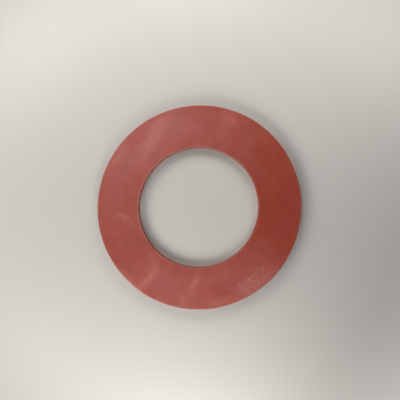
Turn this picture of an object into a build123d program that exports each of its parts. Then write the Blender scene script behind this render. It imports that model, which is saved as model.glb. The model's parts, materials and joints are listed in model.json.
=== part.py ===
from build123d import *
import os

# Ring gasket for a raised-face pipe flange: one flat ring, die cut from red rubber sheet.
# Millimetres. The ring lies flat, +Z is its axis, and the origin is the centre of its underside.

# Driving dimensions
OUTSIDE_DIA = 104.775  # 4 1/8 in: the ring fills the circle inside the flange bolts, which centre it
BORE_DIA = 61.4  # struck about 1 mm wide of 2 3/8 in, the outside diameter of the nominal 2 in pipe
SHEET_THICKNESS = 3.175  # 1/8 in sheet
STRUCK_RIM_RADIUS = 0.25  # upper rims: the blade drags the rubber down before it parts, and rolls them
PARTED_RIM_BREAK = 0.10  # lower rims: nearly sharp, broken a little where the blade parts the rubber

# Worked out from the driving dimensions
BORE_RADIUS = BORE_DIA / 2
WEB = (OUTSIDE_DIA - BORE_DIA) / 2  # radial width of rubber between the two cut walls


def die_cut_section():
    """The section of the rubber, in the plane of X and Z, between the bore and the outer wall."""
    with BuildSketch(Plane.XZ) as section:
        with Locations((BORE_RADIUS, 0)):
            Rectangle(WEB, SHEET_THICKNESS, align=(Align.MIN, Align.MIN))
        chamfer(section.vertices().group_by(Axis.Y)[0], PARTED_RIM_BREAK)
        fillet(section.vertices().group_by(Axis.Y)[-1], STRUCK_RIM_RADIUS)
    return section.sketch


def gasket_ring():
    """The whole gasket: the section turned once round the pipe's axis."""
    with BuildPart() as ring:
        add(die_cut_section())
        revolve(axis=Axis.Z)
    return ring.part


os.makedirs("parts", exist_ok=True)
gasket = gasket_ring()
gasket.label = "gasket_ring"
export_step(gasket, "parts/gasket_ring.step")
print(f"gasket_ring: volume {gasket.volume:.0f} mm3, web {WEB:.2f} mm wide")
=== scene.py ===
# %% [markdown]
# # A die-cut rubber flange gasket
#
# The object is one flat ring of brick-red rubber sheet. It seals the joint between two raised-face
# pipe flanges. There is nothing else to it: no bolt holes, no core, no print. So everything that makes
# it look real is in its edges, in the skin of the rubber and in the light.
#
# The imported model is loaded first, as a fixed frame. It gives the ring's diameters and thickness, and
# the smaller sizes are stated where each is needed.

# %% The frame
import json
import math

import bpy
from mathutils import Matrix, Vector


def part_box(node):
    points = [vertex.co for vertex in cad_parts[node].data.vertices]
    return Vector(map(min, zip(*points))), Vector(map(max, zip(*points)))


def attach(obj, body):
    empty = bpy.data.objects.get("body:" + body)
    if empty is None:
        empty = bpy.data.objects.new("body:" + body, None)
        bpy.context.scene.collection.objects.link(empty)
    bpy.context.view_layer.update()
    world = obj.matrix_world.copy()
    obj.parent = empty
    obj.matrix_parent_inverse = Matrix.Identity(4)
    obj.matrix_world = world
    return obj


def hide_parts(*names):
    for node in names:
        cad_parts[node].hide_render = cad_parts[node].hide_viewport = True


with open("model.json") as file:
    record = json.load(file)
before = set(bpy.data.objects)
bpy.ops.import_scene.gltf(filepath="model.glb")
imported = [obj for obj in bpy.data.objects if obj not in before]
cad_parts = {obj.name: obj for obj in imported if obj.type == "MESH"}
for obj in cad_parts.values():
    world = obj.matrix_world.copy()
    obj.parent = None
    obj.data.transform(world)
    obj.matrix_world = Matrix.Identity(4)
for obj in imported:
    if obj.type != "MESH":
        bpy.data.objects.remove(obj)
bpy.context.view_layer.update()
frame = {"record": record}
MM = 0.001  # one millimetre, in metres

low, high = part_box("gasket_ring")
mounts = {mount["name"]: mount for mount in frame["record"]["mounts"]}
THICKNESS = high.z - low.z
BORE_RADIUS = mounts["bore"]["dims"]["r_mm"] * MM
OUTER_RADIUS = mounts["outer_rim"]["dims"]["r_mm"] * MM
WEB = OUTER_RADIUS - BORE_RADIUS
print(f"ring: {2 * OUTER_RADIUS / MM:.2f} mm outside, {2 * BORE_RADIUS / MM:.2f} mm bore")
print(f"sheet: {THICKNESS / MM:.3f} mm thick")

# %% [markdown]
# ## The camera
#
# A flat ring is best seen from almost straight above. The camera stands a quarter of a metre over the
# ring, a little to the right of its centre, so that the left side of the bore shows more of its cut
# wall than the right. It could be levelled exactly over the centre, but then all of the wall would
# show as an even line, and the ring would look like a flat drawing.

# %% Camera
CAMERA_HEIGHT = 255.3 * MM  # above the ring's upper face
CAMERA_RIGHT, CAMERA_BACK = 18.5 * MM, 6.1 * MM  # of the ring's axis
AIM_RIGHT, AIM_BACK = 1.0 * MM, 3.95 * MM  # where the view's centre meets the upper face
LENS = 45  # focal length, in millimetres
NEAREST_SEEN = 10 * MM

bpy.ops.object.camera_add(location=(CAMERA_RIGHT, CAMERA_BACK, THICKNESS + CAMERA_HEIGHT))
camera = bpy.context.object
camera.name = "camera"
camera.data.lens = LENS
camera.data.clip_start = NEAREST_SEEN
aim = Vector((AIM_RIGHT, AIM_BACK, THICKNESS))
backward = (camera.location - aim).normalized()
rightward = Vector((0, 1, 0)).cross(backward).normalized()
upward = backward.cross(rightward)
camera.rotation_euler = Matrix((rightward, upward, backward)).transposed().to_euler()
bpy.context.scene.camera = camera
bpy.context.scene.view_settings.view_transform = "Standard"
print(f"camera: {math.degrees(math.acos(backward.z)):.1f} degrees from straight down")

# %% [markdown]
# ## The ring
#
# The real ring is struck out of sheet with a steel blade bent to two circles. The blade drags the
# rubber down before it parts it, so the upper rims are rolled over, the cut walls are a little hollow,
# and the lower rims stay nearly sharp. It could be made from a cylinder with a hole in it, but all of
# that is in the section. So the section is drawn first, as a loop of edges, and is then spun once
# round the axis.

# %% Helpers for picking points, edges and faces by their place
TOUCH = 0.01 * MM  # two places closer than this are the same


def pick(mesh_object, test, kind):
    """In edit mode, selects the points, edges or faces whose points all pass the test."""
    bpy.ops.mesh.select_mode(type=kind)
    bpy.ops.mesh.select_all(action="DESELECT")
    bpy.ops.object.mode_set(mode="OBJECT")
    mesh = mesh_object.data
    parts = {"VERT": mesh.vertices, "EDGE": mesh.edges, "FACE": mesh.polygons}[kind]
    points = [test(vertex.co) for vertex in mesh.vertices]
    count = 0
    for part in parts:
        corners = [part.index] if kind == "VERT" else part.vertices
        part.select = all(points[corner] for corner in corners)
        count += part.select
    bpy.ops.object.mode_set(mode="EDIT")
    return count


def at_height(height):
    """A test for points at a height."""
    return lambda point: abs(point.z - height) < TOUCH


def at_radius(radius):
    """A test for points of the section at a distance from the axis."""
    return lambda point: abs(point.x - radius) < TOUCH


# %% Section: a rectangle with its rims cut and its edges divided
STRUCK_RIM = 0.25 * MM  # the radius of the rolled upper rims
STRUCK_RIM_SEGMENTS = 5
PARTED_RIM = 0.10 * MM  # the break along the lower rims
FACE_CUTS = 29  # points added along each flat face
WALL_CUTS = 7  # and along each cut wall

bpy.ops.object.select_all(action="DESELECT")
bpy.ops.mesh.primitive_plane_add(
    size=1, location=(BORE_RADIUS + WEB / 2, 0, THICKNESS / 2), rotation=(math.pi / 2, 0, 0)
)
ring = bpy.context.object
ring.name = "gasket"
ring.scale = (WEB, THICKNESS, 1)
bpy.ops.object.transform_apply(location=True, rotation=True, scale=True)
bpy.ops.object.mode_set(mode="EDIT")
pick(ring, at_height(THICKNESS), "VERT")
bpy.ops.mesh.bevel(offset=STRUCK_RIM, segments=STRUCK_RIM_SEGMENTS, affect="VERTICES")
pick(ring, at_height(0), "VERT")
bpy.ops.mesh.bevel(offset=PARTED_RIM, segments=1, affect="VERTICES")
bpy.ops.mesh.select_all(action="SELECT")
bpy.ops.mesh.delete(type="ONLY_FACE")
for height in (0, THICKNESS):
    pick(ring, at_height(height), "EDGE")
    bpy.ops.mesh.subdivide(number_cuts=FACE_CUTS)
for radius in (BORE_RADIUS, OUTER_RADIUS):
    pick(ring, at_radius(radius), "EDGE")
    bpy.ops.mesh.subdivide(number_cuts=WALL_CUTS)
print(f"section: {len(ring.data.vertices)} points")

# %% [markdown]
# The walls' points are now moved into the rubber, most at half the wall's height. That makes the
# hollow that a blade leaves. It is only a few hundredths of a millimetre, so the bore and the outer
# diameter stay what they are at the rims.

# %% Hollow walls
WALL_HOLLOW = 0.06 * MM  # at the deepest

for inward, radius in ((1, BORE_RADIUS), (-1, OUTER_RADIUS)):
    on_this_wall = at_radius(radius)
    for step in range(1, WALL_CUTS + 1):
        share = step / (WALL_CUTS + 1)  # of the way up the wall
        height = PARTED_RIM + share * (THICKNESS - PARTED_RIM - STRUCK_RIM)
        on_this_level = at_height(height)
        found = pick(ring, lambda point: on_this_wall(point) and on_this_level(point), "VERT")
        depth = inward * WALL_HOLLOW * 4 * share * (1 - share)  # a parabola, deepest halfway up
        bpy.ops.transform.translate(value=(depth, 0, 0))
        print(f"wall at {radius / MM:.1f} mm: {found} point moved {depth / MM:+.3f} mm")

# %% [markdown]
# The section is now turned once round the axis, in so many steps that the rims look round from close
# by. A Screw modifier could turn it too, and would leave the section open to change. Here only the
# finished mesh is wanted, so it is spun in place. The last step lands on the first, and the spin
# joins the two. Then all faces are made to look outward.

# %% Spin the section into a ring
STEPS = 320

bpy.ops.mesh.select_all(action="SELECT")
bpy.ops.mesh.spin(
    steps=STEPS, angle=2 * math.pi, use_auto_merge=True, center=(0, 0, 0), axis=(0, 0, 1)
)
bpy.ops.mesh.select_all(action="SELECT")
bpy.ops.mesh.normals_make_consistent(inside=False)
bpy.ops.object.mode_set(mode="OBJECT")
print(f"ring: {len(ring.data.polygons)} faces")

# %% [markdown]
# The cut walls get a finish of their own, because a blade leaves the rubber darker and rougher than
# the press does. Their faces could be picked by the way that they face, but the rolled rims turn
# smoothly into them. So they are picked by place, while the ring is still a true circle. Slot 0 is
# the moulded face, with the rolled rims. Slot 1 is the cut wall.

# %% Slots for the two finishes
bpy.ops.object.material_slot_add()
bpy.ops.object.material_slot_add()
bpy.ops.object.mode_set(mode="EDIT")


def on_cut_wall(point):
    """Passes points of the two cut walls and of the broken lower rims."""
    below_rim = point.z < THICKNESS - STRUCK_RIM + TOUCH
    reach = PARTED_RIM + TOUCH
    radius = point.xy.length
    return below_rim and (radius < BORE_RADIUS + reach or radius > OUTER_RADIUS - reach)


cut_faces = pick(ring, on_cut_wall, "FACE")
ring.active_material_index = 1
bpy.ops.object.material_slot_assign()
bpy.ops.object.mode_set(mode="OBJECT")
print(f"cut wall: {cut_faces} faces")

# %% [markdown]
# Rubber gives. Struck and lying loose, the ring is out of round by less than a hundredth: a little
# longer one way and shorter across. A lattice could bend it, but a stretch along one line and a
# squeeze across it is all that it needs. Both lie halfway between the X and Y axes, so the ring
# measures the same along those as before.

# %% Out of round
STRETCH = 0.007
STRETCH_TURN = math.radians(45)

bpy.ops.object.mode_set(mode="EDIT")
bpy.ops.mesh.select_all(action="SELECT")
bpy.ops.transform.resize(
    value=(1 + STRETCH, 1 - STRETCH, 1),
    orient_type="GLOBAL",
    orient_matrix=Matrix.Rotation(STRETCH_TURN, 3, "Z"),
    orient_matrix_type="GLOBAL",
    center_override=(0, 0, 0),
)
bpy.ops.object.mode_set(mode="OBJECT")
for name, turn in (("long", STRETCH_TURN), ("short", STRETCH_TURN + math.pi / 2)):
    line = Vector((math.cos(turn), math.sin(turn), 0))
    reach = max(vertex.co.dot(line) for vertex in ring.data.vertices)
    print(f"{name} way: {reach / MM:.2f} mm from the axis")

# %% [markdown]
# The rolled rims have to look round and the broken lower rims sharp, so only shallow angles are
# shaded smooth. The normals are also weighted by the size of the faces, so that the wide flat faces
# don't seem to curve where they meet the rims. A much finer mesh would do the same, at a cost.

# %% Smooth shading
SMOOTH_UNDER = math.radians(35)

bpy.ops.object.shade_smooth_by_angle(angle=SMOOTH_UNDER)
bpy.ops.object.modifier_add(type="WEIGHTED_NORMAL")
ring.modifiers[-1].keep_sharp = True
bpy.ops.object.modifier_apply(modifier=ring.modifiers[-1].name)
sharp_edges = sum(edge.use_edge_sharp for edge in ring.data.edges)
print(f"sharp edges: {sharp_edges}")

# %% [markdown]
# ## Finishes
#
# A finish is built up as the real surface is: the rubber's own colour first, then what lies on it, with
# some sheen and highlights painted in, then how rough and how uneven it is. The nodes could be placed
# one by one, but most of them repeat.
# So a small class holds one material and adds its nodes. Every size that it takes is in millimetres,
# and so is every place, from the centre of the ring's underside.

# %% A class for finishes
MIX_SHARE, MIX_FIRST, MIX_SECOND, MIX_RESULT = 0, 6, 7, 2  # a Mix node's sockets for colours


class Finish:
    """A material built up in layers, with its places and sizes in millimetres."""

    def __init__(self, name):
        self.material = bpy.data.materials.new(name)
        self.material.use_nodes = True
        self.tree = self.material.node_tree
        self.shader = self.tree.nodes["Principled BSDF"]
        place = self.node("ShaderNodeTexCoord").outputs["Object"]
        self.mm = self.node("ShaderNodeMapping", Vector=place, Scale=(1 / MM,) * 3).outputs[0]

    def node(self, kind, settings=(), **sockets):
        """Adds a node, sets its properties, and fills its sockets with values or links."""
        node = self.tree.nodes.new(kind)
        for name, value in dict(settings).items():
            setattr(node, name, value)
        for name, value in sockets.items():
            self.fill(node.inputs[name.replace("_", " ")], value)
        return node

    def fill(self, socket, value):
        """Links a socket, or sets the value on it."""
        if isinstance(value, bpy.types.NodeSocket):
            self.tree.links.new(value, socket)
        else:
            socket.default_value = value

    def maths(self, operation, *values):
        """One step of arithmetic on values or links."""
        node = self.node("ShaderNodeMath", {"operation": operation})
        for socket, value in zip(node.inputs, values):
            self.fill(socket, value)
        return node.outputs[0]

    def grade(self, value, low, high, new_low=0.0, new_high=1.0):
        """Maps low..high to new_low..new_high along a smooth S curve."""
        node = self.node("ShaderNodeMapRange", {"interpolation_type": "SMOOTHSTEP"}, Value=value)
        for name, number in (
            ("From Min", low),
            ("From Max", high),
            ("To Min", new_low),
            ("To Max", new_high),
        ):
            node.inputs[name].default_value = number
        return node.outputs[0]

    def clouds(self, size, detail=2.0, roughness=0.5, stretch=(1, 1, 1), turn=0):
        """A noise whose lumps are about size mm across, and longer where stretch is over 1."""
        mapping = self.node(
            "ShaderNodeMapping",
            {"vector_type": "TEXTURE"},
            Vector=self.mm,
            Rotation=(0, 0, math.radians(turn)),
            Scale=tuple(size * share for share in stretch),
        )
        noise = self.node(
            "ShaderNodeTexNoise",
            Vector=mapping.outputs[0],
            Scale=1.0,
            Detail=detail,
            Roughness=roughness,
        )
        return noise.outputs[0]

    def swing(self, noise, most):
        """Moves a noise of 0 to 1 to between -most and most."""
        return self.maths("MULTIPLY_ADD", noise, 2 * most, -most)

    def patch(self, x, y, length, width, turn):
        """A soft oval on the upper face: 1 at its centre and 0 at its edge."""
        mapping = self.node(
            "ShaderNodeMapping",
            {"vector_type": "TEXTURE"},
            Vector=self.mm,
            Location=(x, y, THICKNESS / MM),
            Rotation=(0, 0, math.radians(turn)),
            Scale=(length / 2, width / 2, 1),
        )
        far = self.node("ShaderNodeVectorMath", {"operation": "LENGTH"})
        self.fill(far.inputs[0], mapping.outputs[0])
        return self.grade(far.outputs["Value"], 0, 1, 1, 0)

    def patches(self, marks):
        """Soft ovals added up, each as (x, y, length, width, turn, strength)."""
        total = None
        for *oval, strength in marks:
            one = self.maths("MULTIPLY", self.patch(*oval), strength)
            total = one if total is None else self.maths("ADD", total, one)
        return total

    def mix(self, share, first, second):
        """A colour between first and second."""
        node = self.node("ShaderNodeMix", {"data_type": "RGBA", "clamp_factor": True})
        self.fill(node.inputs[MIX_SHARE], share)
        self.fill(node.inputs[MIX_FIRST], first)
        self.fill(node.inputs[MIX_SECOND], second)
        return node.outputs[MIX_RESULT]

    def bump(self, height, depth, under=None):
        """Raises the surface by depth mm where height is 1, over the bump given as under."""
        node = self.node("ShaderNodeBump", Height=height, Strength=1.0, Distance=depth * MM)
        if under is not None:
            self.fill(node.inputs["Normal"], under)
        return node.outputs[0]


# %% [markdown]
# ## The moulded face
#
# The sheet is rolled from rubber coloured with iron oxide, and pressed hot between cloths. The colour
# is never quite even: the pigment lies in clouds about as wide as a thumb, some redder and some
# browner, with a fine dark grain between the specks of filler. One flat colour would look like
# paint, so three reds are mixed by slow noise, and the grain by a fast one.

# %% Moulded face: the rubber's own colour
RUBBER = (0.290, 0.033, 0.016, 1)
RUBBER_DEEP = (0.262, 0.029, 0.014, 1)
RUBBER_BROWN = (0.280, 0.041, 0.017, 1)
GRAIN_DARK = (0.200, 0.018, 0.010, 1)
CLOUD_SIZE, BROWN_SIZE, GRAIN_SIZE = 11, 19, 0.45  # millimetres
BROWN_MOST, GRAIN_MOST = 0.6, 0.5  # how far each may cover the colour under it

face = Finish("moulded_red_rubber")
clouded = face.grade(face.clouds(CLOUD_SIZE, detail=4, roughness=0.55), 0.32, 0.68)
browned = face.clouds(BROWN_SIZE, detail=3, stretch=(1.6, 1, 1), turn=50)
browned = face.grade(browned, 0.45, 0.7, 0, BROWN_MOST)
grain = face.clouds(GRAIN_SIZE, detail=3, roughness=0.6)
colour = face.mix(clouded, RUBBER_DEEP, RUBBER)
colour = face.mix(browned, colour, RUBBER_BROWN)
colour = face.mix(face.grade(grain, 0.45, 0.2, 0, GRAIN_MOST), colour, GRAIN_DARK)
print(f"{face.material.name}: {len(face.tree.nodes)} nodes of colour")

# %% [markdown]
# The cloth that the sheet was pressed against leaves its print: fine parallel ridges where the
# threads ran, and fainter ones across them. It is deep in some places and nearly gone in others.
# A wave texture gives evenly spaced ridges, and a little distortion keeps them from being ruled lines.

# %% Moulded face: the cloth's print
WARP_PITCH = 1.69  # millimetres from ridge to ridge
WEFT_PITCH = 0.95 * WARP_PITCH
CLOTH_TURN = 48.6  # degrees
WARP_WAVER, WEFT_WAVER = 1.2, 1.5
WEFT_SHARE = 0.4  # of the warp's height
PRINT_FAINT, PRINT_DEEP = 0.05, 0.35
PRINT_PATCH_SIZE = 13  # millimetres, from deep to faint and back
WAVE_PERIOD = math.pi / 10  # a wave texture of scale 1 repeats at this distance
PRINT_CLEAR = [  # where the print shows best
    # x, y, length, width, turn, strength
    (-23, 36, 34, 20, 60, 0.60),
    (-36, 22, 30, 18, 60, 0.35),
    (14, 41, 34, 22, 40, 0.30),
    (27, -37, 38, 16, 42, 0.50),
]


def threads(finish, pitch, turn, waver):
    """Ridges, as 0 to 1: pitch mm apart, crossing the direction turn."""
    mapping = finish.node(
        "ShaderNodeMapping",
        {"vector_type": "TEXTURE"},
        Vector=finish.mm,
        Rotation=(0, 0, math.radians(turn)),
        Scale=(pitch / WAVE_PERIOD,) * 3,
    )
    wave = finish.node(
        "ShaderNodeTexWave",
        {"wave_type": "BANDS", "bands_direction": "X", "wave_profile": "SIN"},
        Vector=mapping.outputs[0],
        Scale=1.0,
        Distortion=waver,
        Detail=2.0,
        Detail_Scale=0.6,
    )
    return wave.outputs["Fac"]


warp = threads(face, WARP_PITCH, CLOTH_TURN, WARP_WAVER)
weft = threads(face, WEFT_PITCH, CLOTH_TURN + 90, WEFT_WAVER)
print_depth = face.clouds(PRINT_PATCH_SIZE, detail=4, roughness=0.6)
print_depth = face.grade(print_depth, 0.4, 0.7, PRINT_FAINT, PRINT_DEEP)
print_depth = face.maths("ADD", print_depth, face.patches(PRINT_CLEAR))
cloth = face.maths("MULTIPLY_ADD", weft, WEFT_SHARE, warp)
cloth = face.maths("MULTIPLY", cloth, print_depth)
print(f"cloth: a ridge every {WARP_PITCH} mm")

# %% [markdown]
# Old rubber sweats out a thin pale film, called bloom. It lies in broad patches, and these patches are
# also painted sheen: they make the ring paler on the left, at the top and at the lower right, where the
# light shines on its skin. Where the ring was rubbed, the film is scraped up into drier, chalkier
# streaks, which carry painted sheen too. They catch on the ridges of the cloth's print as painted
# glints, so the print shows best inside them, and they are broken up by a finer noise. The places and
# strengths are listed one by one. Noise alone could spread them, but it would not put the streaks
# where this ring was rubbed.

# %% Moulded face: bloom and painted sheen
# The two pale colours below paint bloom and chalk, and painted sheen with them.
BLOOM_AND_SHEEN = (0.66, 0.31, 0.285, 1)
CHALK_AND_SHEEN = (0.78, 0.33, 0.26, 1)
MOTTLE_SIZE, SPECKLE_SIZE, BREAK_SIZE = 6.5, 1.1, 1.6  # millimetres
BLOOM_AND_SHEEN_UNEVEN = 0.08  # how far the mottle and the speckle each move the bloom's share
STREAK_LEAST, STREAK_MOST = 0.3, 1.25  # a streak's strength where it is broken and where it is whole
# A full ridge takes more chalk and more painted sheen than a furrow.
RIDGE_CATCH = 1.2  # how much more chalk lies on a full ridge than in a furrow
# Broad patches of bloom and painted sheen: the sheen makes the left, the top and the lower right paler.
BLOOM_AND_SHEEN_BROAD = [
    # x, y, length, width, turn, strength
    (-28, 6, 160, 130, 90, 0.13),
    (-26, 34, 84, 50, 45, 0.11),
    (5, 43, 100, 58, -6, 0.12),
    (-10, -44, 100, 54, 5, 0.105),
    (-44, 14, 90, 32, 80, 0.05),
    (-24, -32, 44, 34, -45, 0.03),
    (29, -40, 58, 32, 42, 0.16),
    (20, -28, 56, 24, 34, 0.09),
    (-2, -50, 70, 16, 0, 0.05),
    (27, 21, 44, 18, -52, 0.05),
    (37, -34, 26, 14, 45, 0.04),
]
# Streaks of chalk, with painted sheen along them.
CHALK_AND_SHEEN_STREAKS = [
    # x, y, length, width, turn, strength
    (-22, 38.5, 27, 13, 63, 0.20),
    (-27.5, 29.5, 22, 13, 55, 0.12),
    (-16, 45, 20, 9, 20, 0.06),
    (16, 46, 18, 10, 125, 0.13),
    (12, 39, 18, 8, 70, 0.06),
    (-42, 26, 34, 10, 58, 0.13),
    (-36.5, -37.5, 32, 9, -45, 0.14),
    (-28.5, -39.5, 16, 8, 38, 0.10),
    (-23.2, -34, 18, 9, 62, 0.11),
    (-24, -25, 16, 8, 115, 0.07),
    (-1.6, -38.5, 21, 7, 64, 0.16),
    (-8, -48, 12, 8, 80, 0.12),
    (28.5, -38.5, 34, 11, 42, 0.13),
    (26.5, -36, 20, 4, 42, 0.11),
    (12, -48, 22, 8, 15, 0.13),
    (-38, -5.5, 18, 6, -25, 0.07),
]
mottle = face.swing(face.clouds(MOTTLE_SIZE, detail=4, roughness=0.6), BLOOM_AND_SHEEN_UNEVEN)
speckle = face.swing(face.clouds(SPECKLE_SIZE, detail=3, roughness=0.7), BLOOM_AND_SHEEN_UNEVEN)
bloom_and_sheen = face.maths("ADD", face.patches(BLOOM_AND_SHEEN_BROAD), face.maths("ADD", mottle, speckle))
bloom_and_sheen = face.maths("MAXIMUM", bloom_and_sheen, 0.0)
broken = face.clouds(BREAK_SIZE, detail=5, roughness=0.75)
broken = face.grade(broken, 0.36, 0.62, STREAK_LEAST, STREAK_MOST)
raised = face.maths("MULTIPLY", face.maths("SUBTRACT", warp, 0.5), print_depth)
caught = face.maths("MULTIPLY_ADD", raised, RIDGE_CATCH, 1.0)
chalk_and_sheen = face.maths("MULTIPLY", face.patches(CHALK_AND_SHEEN_STREAKS), face.maths("MULTIPLY", broken, caught))
# The bloom and the chalk go into the colour here, with the painted sheen that they carry.
colour = face.mix(bloom_and_sheen, colour, BLOOM_AND_SHEEN)
colour = face.mix(chalk_and_sheen, colour, CHALK_AND_SHEEN)
print(f"bloom: {len(BLOOM_AND_SHEEN_BROAD)} broad patches and {len(CHALK_AND_SHEEN_STREAKS)} streaks")

# %% [markdown]
# Over the bloom come small scuffs, where the ring was knocked or dragged, and a few specks of dust.
# They are short, thin ovals of a lighter, dustier red, broken up by a fine noise.

# %% Moulded face: scuffs and dust
SCUFF = (0.62, 0.33, 0.29, 1)
FINE_BREAK_SIZE = 0.9  # millimetres
SCUFF_MARKS = [
    # x, y, length, width, turn, strength
    (33.2, -30.8, 6.0, 2.2, 42, 0.30),
    (30.2, -30.6, 2.0, 1.4, 0, 0.30),
    (26.0, -36.4, 3.0, 1.3, 42, 0.20),
    (-24, -35, 8.0, 3.5, 60, 0.16),
    (-22.4, -31, 5.0, 2.4, 70, 0.18),
    (-27.5, -38.6, 9.0, 2.4, 35, 0.22),
    (-38.5, -4.5, 12.0, 3.2, -20, 0.09),
    (-33.8, -9.0, 6.0, 3.2, -50, 0.10),
    (-1.2, -37.6, 7.0, 2.6, 66, 0.18),
    (21.0, -39.2, 2.2, 1.6, 0, 0.45),
    (-43.6, -13.2, 1.5, 1.3, 0, 0.40),
    (-22, -46.6, 1.5, 1.1, 20, 0.35),
    (-7.6, -50.3, 1.8, 1.1, 0, 0.40),
]
fine_break = face.clouds(FINE_BREAK_SIZE, detail=3, roughness=0.7)
fine_break = face.grade(fine_break, 0.35, 0.6)
scuffs = face.maths("MULTIPLY", face.patches(SCUFF_MARKS), fine_break)
colour = face.mix(scuffs, colour, SCUFF)
print(f"scuffs and specks: {len(SCUFF_MARKS)}")

# %% [markdown]
# The rolled rims are where the ring is held and where it rubs. Round the bore a paler red band is
# painted: partly wear, and partly a painted highlight along the rim. The outer rim is painted a dusty
# pink, most of all along the lower left: partly bruising, and partly a painted highlight where the
# edge catches the light. A rim is a band of one radius, so the distance from the axis picks it out,
# once the ring's stretch is taken out again. Soft ovals say how far round the pale bands go.

# %% Moulded face: worn rims and painted rim highlights
# The two rim colours below paint wear and bruising, and a painted highlight along the rims with them.
RIM_WORN_AND_HIGHLIT = (0.40, 0.150, 0.110, 1)
RIM_BRUISED_AND_HIGHLIT = (0.60, 0.30, 0.26, 1)
# The pale band of wear and painted highlight is full at the first number and ends at the second.
RIM_CREST, RIM_WIDTH = 0.3, 1.4  # millimetres in from the edge: where wear is full, and where it ends
RIM_PATCH_SIZE = 7
RIM_PATCH_LEAST = 0.5
BORE_WEAR_AND_HIGHLIGHT = [
    # x, y, length, width, turn, strength
    (-6, 8, 150, 130, 0, 0.85),
]
OUTER_BRUISES_AND_HIGHLIGHTS = [
    # x, y, length, width, turn, strength
    (0, 0, 240, 240, 0, 0.20),
    (-38, -36, 44, 14, -46, 0.38),
    (26, -44, 50, 14, 32, 0.15),
    (-51, 6, 40, 12, 90, 0.15),
    (-4, -51, 40, 10, 0, 0.25),
    (-20, -48, 20, 8, -20, 0.15),
]


def from_axis(finish):
    """The distance from the ring's axis in millimetres, as if the ring were a true circle."""
    flat = finish.node("ShaderNodeVectorMath", {"operation": "MULTIPLY"})
    finish.fill(flat.inputs[0], finish.mm)
    flat.inputs[1].default_value = (1, 1, 0)
    circle = finish.node(
        "ShaderNodeMapping",
        {"vector_type": "TEXTURE"},
        Vector=flat.outputs[0],
        Rotation=(0, 0, STRETCH_TURN),
        Scale=(1 + STRETCH, 1 - STRETCH, 1),
    )
    length = finish.node("ShaderNodeVectorMath", {"operation": "LENGTH"})
    finish.fill(length.inputs[0], circle.outputs[0])
    return length.outputs["Value"]


off_axis = from_axis(face)
bore_mm, outer_mm = BORE_RADIUS / MM, OUTER_RADIUS / MM
bore_band = face.grade(off_axis, bore_mm + RIM_CREST, bore_mm + RIM_WIDTH, 1, 0)
outer_band = face.grade(off_axis, outer_mm - RIM_WIDTH, outer_mm - RIM_CREST, 0, 1)
patchy_rim = face.clouds(RIM_PATCH_SIZE, detail=4, roughness=0.6)
patchy_rim = face.grade(patchy_rim, 0.35, 0.6, RIM_PATCH_LEAST, 1)
worn_and_highlit = face.maths("MULTIPLY", face.patches(BORE_WEAR_AND_HIGHLIGHT), bore_band)
worn_and_highlit = face.maths("MULTIPLY", worn_and_highlit, patchy_rim)
bruised_and_highlit = face.maths("MULTIPLY", face.patches(OUTER_BRUISES_AND_HIGHLIGHTS), outer_band)
bruised_and_highlit = face.maths("MULTIPLY", bruised_and_highlit, fine_break)
# Painted highlight along both rims goes into the colour here, with the wear and the bruising.
colour = face.mix(worn_and_highlit, colour, RIM_WORN_AND_HIGHLIT)
colour = face.mix(bruised_and_highlit, colour, RIM_BRUISED_AND_HIGHLIT)
face.fill(face.shader.inputs["Base Color"], colour)
print(f"rims: worn {RIM_WIDTH} mm wide")

# %% [markdown]
# The skin is matte with a faint sheen. Bloom and chalk are drier than clean rubber, so they are
# rougher. The unevenness is all very shallow: the cloth's ridges stand at most four hundredths of a
# millimetre proud and the grain a few thousandths. That is too fine for the mesh, so it is bump.

# %% Moulded face: how rough and how uneven
SKIN_PATCH_SIZE = 6  # millimetres
SKIN_SMOOTHEST, SKIN_ROUGHEST = 0.36, 0.44
DRYNESS = 0.5  # how much rougher full bloom or chalk is
RUBBER_IOR = 1.5
PRINT_HEIGHT = 0.030  # millimetres
GRAIN_HEIGHT = 0.004

rough = face.clouds(SKIN_PATCH_SIZE, detail=3)
rough = face.grade(rough, 0.3, 0.7, SKIN_SMOOTHEST, SKIN_ROUGHEST)
rough = face.maths("MULTIPLY_ADD", face.maths("ADD", bloom_and_sheen, chalk_and_sheen), DRYNESS, rough)
face.fill(face.shader.inputs["Roughness"], rough)
face.shader.inputs["IOR"].default_value = RUBBER_IOR
uneven = face.bump(cloth, PRINT_HEIGHT)
uneven = face.bump(grain, GRAIN_HEIGHT, under=uneven)
face.fill(face.shader.inputs["Normal"], uneven)
ring.material_slots[0].material = face.material
print(f"{face.material.name}: {len(face.tree.nodes)} nodes in all")

# %% [markdown]
# ## The cut wall
#
# A blade parts the rubber and drags a little of it along, so the cut is darker, duller and scored
# from top to bottom. Noise that is pulled long in height gives the scores, a slower one the patches
# where the blade ran cleaner, and a fine one the pale crumbs of torn rubber.

# %% Cut wall
CUT_RED = (0.26, 0.036, 0.024, 1)
CUT_DARK = (0.19, 0.026, 0.018, 1)
CUT_PALE = (0.40, 0.105, 0.075, 1)
SCORE_WIDTH, PATCH_SIZE, CRUMB_SIZE = 0.5, 5, 0.35  # millimetres
SCORE_HEIGHT, CRUMB_HEIGHT = 0.05, 0.0125  # millimetres
PATCH_MOST, CRUMB_MOST = 0.35, 0.5  # how far each may cover the colour under it
CUT_ROUGH, CUT_CLEAN = 0.72, 0.58  # how rough the cut is, and where the blade ran cleaner

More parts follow.
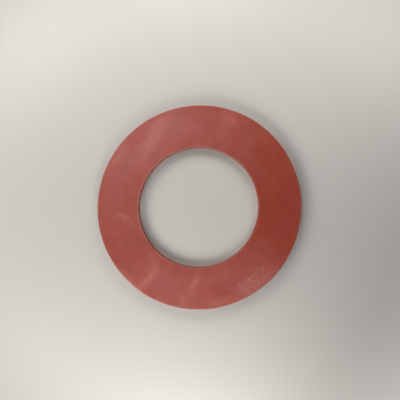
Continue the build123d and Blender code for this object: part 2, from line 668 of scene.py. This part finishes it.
wall = Finish("cut_red_rubber")
scores = wall.clouds(SCORE_WIDTH, detail=4, roughness=0.6, stretch=(1, 1, 9))
patchy = wall.clouds(PATCH_SIZE, detail=3, stretch=(1, 1, 0.5))
crumbs = wall.clouds(CRUMB_SIZE, detail=3, roughness=0.7)
cut_colour = wall.mix(wall.grade(scores, 0.35, 0.65), CUT_DARK, CUT_RED)
cut_colour = wall.mix(wall.grade(patchy, 0.5, 0.75, 0, PATCH_MOST), cut_colour, CUT_PALE)
cut_colour = wall.mix(wall.grade(crumbs, 0.62, 0.75, 0, CRUMB_MOST), cut_colour, CUT_PALE)
wall.fill(wall.shader.inputs["Base Color"], cut_colour)
wall.fill(wall.shader.inputs["Roughness"], wall.grade(patchy, 0.3, 0.7, CUT_ROUGH, CUT_CLEAN))
scored = wall.bump(scores, SCORE_HEIGHT)
wall.fill(wall.shader.inputs["Normal"], wall.bump(crumbs, CRUMB_HEIGHT, under=scored))
ring.material_slots[1].material = wall.material
print(f"{wall.material.name}: {len(wall.tree.nodes)} nodes")

# %% [markdown]
# ## What the ring rides on
#
# The ring is the object's one piece, so it rides on the one body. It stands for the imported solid,
# which is hidden but still there for the weight and the resting.

# %% What rides on what
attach(ring, "root")
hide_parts("gasket_ring")
print("gasket rides on root and stands for gasket_ring")

# %% [markdown]
# ## The floor
#
# The ring lies on a plain pale table. The floor is one large flat face, matte and a little warm. Far
# from the ring it would show the pools of light under the lamps, so there it fades into the plain
# backdrop instead, for the rays that come straight from the camera or by way of gloss or glass. The
# light itself is not changed by this, and the floor near the ring keeps the ring's shadow.

# %% A switch for what is only seen
BACKDROP = (0.62, 0.595, 0.56, 1)


def seen_rays(tree):
    """1 for rays straight from the camera, or by way of gloss or glass, and 0 for all others."""
    light_path = tree.nodes.new("ShaderNodeLightPath")
    seen = light_path.outputs["Is Camera Ray"]
    for ray in ("Is Glossy Ray", "Is Transmission Ray"):
        either = tree.nodes.new("ShaderNodeMath")
        either.operation = "MAXIMUM"
        tree.links.new(seen, either.inputs[0])
        tree.links.new(light_path.outputs[ray], either.inputs[1])
        seen = either.outputs[0]
    return seen


# %% Floor
FLOOR_COLOUR = (0.60, 0.575, 0.535, 1)
FLOOR_ROUGHNESS, FLOOR_GLOSS = 0.9, 0.1
FLOOR_SIZE = 4  # metres
FADE_FROM, FADE_TO = 98, 168  # millimetres from the ring's axis

bpy.ops.object.select_all(action="DESELECT")
bpy.ops.mesh.primitive_plane_add(size=FLOOR_SIZE, location=(0, 0, 0))
floor = bpy.context.object
floor.name = "floor"
table = Finish("plain_floor")
table.shader.inputs["Base Color"].default_value = FLOOR_COLOUR
table.shader.inputs["Roughness"].default_value = FLOOR_ROUGHNESS
table.shader.inputs["Specular IOR Level"].default_value = FLOOR_GLOSS
far = table.node("ShaderNodeVectorMath", {"operation": "LENGTH"})
table.fill(far.inputs[0], table.mm)
faded = table.grade(far.outputs["Value"], FADE_FROM, FADE_TO)
backdrop = table.node("ShaderNodeEmission", Color=BACKDROP, Strength=1.0)
fade = table.node("ShaderNodeMixShader")
table.fill(fade.inputs[0], table.maths("MULTIPLY", faded, seen_rays(table.tree)))
table.fill(fade.inputs[1], table.shader.outputs[0])
table.fill(fade.inputs[2], backdrop.outputs[0])
table.fill(table.tree.nodes["Material Output"].inputs["Surface"], fade.outputs[0])
floor.data.materials.append(table.material)
print(f"floor: {FLOOR_SIZE} m square, plain backdrop from {FADE_TO} mm out")

# %% [markdown]
# ## The light
#
# A ring only 3 mm thick casts short shadows, so low light is what shows its height. The key softbox
# stands off at the lower left. Smaller ones stand close round the ring, from the upper right round
# the left to the bottom, and none on the right, so the light falls off that way. One big lamp far off
# would be simpler, but then the shadows in the bore would be no darker than those outside. A lamp
# this close lights its own side of the ring most, so the bore's wall shades its foot all the way round.

# %% Lights
SOFTBOXES = [
    # name, bearing and height in degrees, distance and side in millimetres, watts
    ("key", 225, 28, 400, 140, 0.43),
    ("lower_left", 225, 26, 190, 80, 0.055),
    ("left", 180, 24, 280, 90, 0.15),
    ("upper_left", 135, 24, 280, 90, 0.12),
    ("upper_left_low", 135, 17, 190, 80, 0.08),
    ("top", 90, 26, 190, 80, 0.125),
    ("upper_right", 45, 26, 190, 80, 0.09),
    ("bottom", 270, 26, 190, 80, 0.18),
]

for name, bearing, height, distance, side, watts in SOFTBOXES:
    turn, lift = math.radians(bearing), math.radians(height)
    level = math.cos(lift)
    outward = Vector((math.cos(turn) * level, math.sin(turn) * level, math.sin(lift)))
    bpy.ops.object.light_add(type="AREA", location=outward * distance * MM)
    lamp = bpy.context.object
    lamp.name = name
    lamp.rotation_euler = outward.to_track_quat("Z", "Y").to_euler()
    lamp.data.shape = "SQUARE"
    lamp.data.size = side * MM
    lamp.data.energy = watts
    lamp.visible_camera = False
print("lamps:", len(SOFTBOXES))

# %% [markdown]
# ## The world
#
# The world gives a very weak white fill. What is seen past the floor's edge is the same plain pale
# backdrop, which lights nothing.

# %% World
FILL_STRENGTH = 0.01

world = bpy.data.worlds.new("studio")
bpy.context.scene.world = world
world.use_nodes = True
nodes, links = world.node_tree.nodes, world.node_tree.links
nodes.clear()
fill_light = nodes.new("ShaderNodeBackground")
fill_light.inputs["Color"].default_value = (1, 1, 1, 1)
fill_light.inputs["Strength"].default_value = FILL_STRENGTH
plain = nodes.new("ShaderNodeBackground")
plain.inputs["Color"].default_value = BACKDROP
plain.inputs["Strength"].default_value = 1.0
choose = nodes.new("ShaderNodeMixShader")
out = nodes.new("ShaderNodeOutputWorld")
links.new(seen_rays(world.node_tree), choose.inputs[0])
links.new(fill_light.outputs[0], choose.inputs[1])
links.new(plain.outputs[0], choose.inputs[2])
links.new(choose.outputs[0], out.inputs[0])
print(f"world: fill {FILL_STRENGTH}, backdrop {BACKDROP[:3]}")
